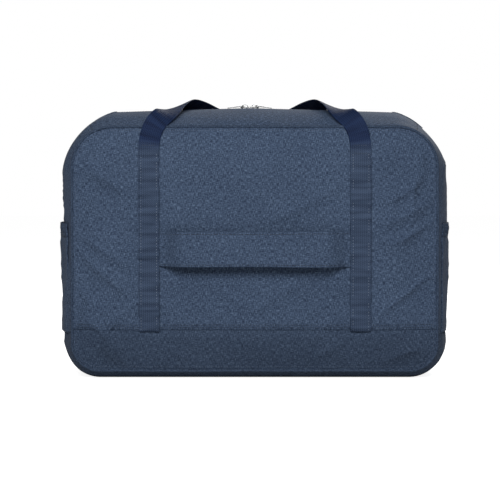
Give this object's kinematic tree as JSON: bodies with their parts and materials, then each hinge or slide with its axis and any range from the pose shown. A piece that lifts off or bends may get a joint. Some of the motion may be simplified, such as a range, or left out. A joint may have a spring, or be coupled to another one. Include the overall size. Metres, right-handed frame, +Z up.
{
  "type": "travel tote bag",
  "caption": "Rounded box-shaped travel tote bag in navy cloth with two webbing handles, a zipped top, side pockets and a sleeve that slips over a suitcase handle.",
  "frame": {"origin": "centre of the flat base, on the surface that the bag stands on", "axes": "+Z up, +X to the right along the zipper, -Y towards the rear face with the luggage sleeve, +Y towards the front face with the pouch pocket"},
  "size_m": [0.4688, 0.2391, 0.334],
  "materials": {
    "navy_cloth": "heathered plain weave",
    "dark_cloth": "heathered plain weave",
    "piping": "cloth-covered cord",
    "binding": "woven tape",
    "webbing": "ribbed webbing",
    "elastic_hem": "gathered elastic",
    "zipper_tape": "woven tape",
    "zipper_coil": "satin nylon",
    "nickel": "polished"
  },
  "bodies": {
    "bag": {"rear_panel": "navy_cloth", "front_panel": "navy_cloth", "side_gusset_right": "navy_cloth", "side_gusset_left": "navy_cloth", "top_gusset_rear": "navy_cloth", "top_gusset_front": "navy_cloth", "luggage_sleeve": "navy_cloth", "side_pocket_left": "navy_cloth", "side_pocket_right": "navy_cloth", "front_pocket_panel": "navy_cloth", "rear_lower_panel": "dark_cloth", "front_lower_panel": "dark_cloth", "bottom_gusset": "dark_cloth", "zipper_tab_right": "dark_cloth", "zipper_tab_left": "dark_cloth", "piping_rear": "piping", "piping_front": "piping", "seam_binding_rear": "binding", "seam_binding_front": "binding", "strap_rear_left": "webbing", "strap_rear_right": "webbing", "strap_front_left": "webbing", "strap_front_right": "webbing", "pocket_hem_left": "elastic_hem", "pocket_hem_right": "elastic_hem", "zipper_tape_rear": "zipper_tape", "zipper_tape_front": "zipper_tape", "front_pocket_tape_lower": "zipper_tape", "front_pocket_tape_upper": "zipper_tape", "zipper_coil_rear": "zipper_coil", "zipper_coil_front": "zipper_coil", "front_pocket_coil_lower": "zipper_coil", "front_pocket_coil_upper": "zipper_coil"},
    "rear_handle": {"handle_rear_loop": "webbing"},
    "front_handle": {"handle_front_loop": "webbing"},
    "left_slider": {"slider_left": "nickel"},
    "left_pull": {"pull_left": "nickel"},
    "right_slider": {"slider_right": "nickel"},
    "right_pull": {"pull_right": "nickel"},
    "pouch_slider": {"front_pocket_slider": "nickel"},
    "pouch_pull": {"front_pocket_pull": "nickel"}
  },
  "joints": [
    {"name": "rear_handle_swing", "type": "hinge", "parent": "bag", "child": "rear_handle", "pos_m": [0, -0.098, 0.298], "axis": [1, 0, 0], "range_deg": [0, 100]},
    {"name": "front_handle_swing", "type": "hinge", "parent": "bag", "child": "front_handle", "pos_m": [0, 0.098, 0.298], "axis": [1, 0, 0], "range_deg": [0, 178]},
    {"name": "left_slider_slide", "type": "slide", "parent": "bag", "child": "left_slider", "axis": [-0.9996, 0, -0.03], "range_m": [0, 0.145]},
    {"name": "left_pull_flip", "type": "hinge", "parent": "left_slider", "child": "left_pull", "pos_m": [-0.01315, 0, 0.32469], "axis": [0, 1, 0], "range_deg": [0, 110]},
    {"name": "right_slider_slide", "type": "slide", "parent": "bag", "child": "right_slider", "axis": [0.9996, 0, -0.03], "range_m": [0, 0.145]},
    {"name": "right_pull_flip", "type": "hinge", "parent": "right_slider", "child": "right_pull", "pos_m": [0.00115, 0, 0.32469], "axis": [0, -1, 0], "range_deg": [0, 110]},
    {"name": "pouch_slider_slide", "type": "slide", "parent": "bag", "child": "pouch_slider", "axis": [1, 0, 0], "range_m": [0, 0.156]},
    {"name": "pouch_pull_flip", "type": "hinge", "parent": "pouch_slider", "child": "pouch_pull", "pos_m": [-0.0788, 0.1067, 0.213], "axis": [0, 0, 1], "range_deg": [0, 110]}
  ]
}
